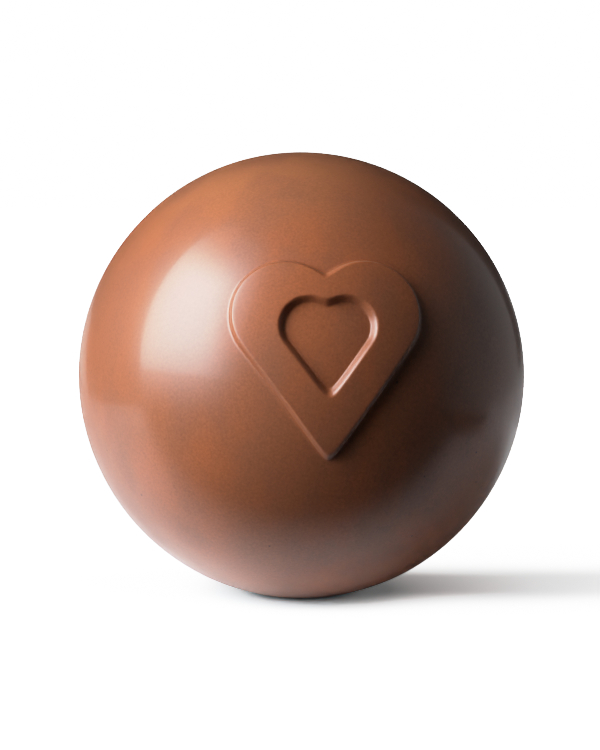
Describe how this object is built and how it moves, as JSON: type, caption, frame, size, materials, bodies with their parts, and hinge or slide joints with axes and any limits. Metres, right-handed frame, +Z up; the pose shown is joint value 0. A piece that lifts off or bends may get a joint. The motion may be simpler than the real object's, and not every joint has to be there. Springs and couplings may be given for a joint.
{
  "type": "hot chocolate sphere",
  "caption": "Milk chocolate ball for hot chocolate, moulded with a raised heart ring on its front, resting on a small flat spot underneath.",
  "frame": {"origin": "middle of the flat spot on which the ball rests", "axes": "+Z up from the resting plane; -Y is the front, where the raised heart is; +X is to the heart's right as seen from the front"},
  "size_m": [0.06, 0.0609, 0.0596],
  "materials": {
    "milk_chocolate": "smooth satin milk chocolate with a soft gloss and faint mottling"
  },
  "bodies": {
    "root": {"chocolate_sphere": "milk_chocolate"}
  },
  "joints": []
}
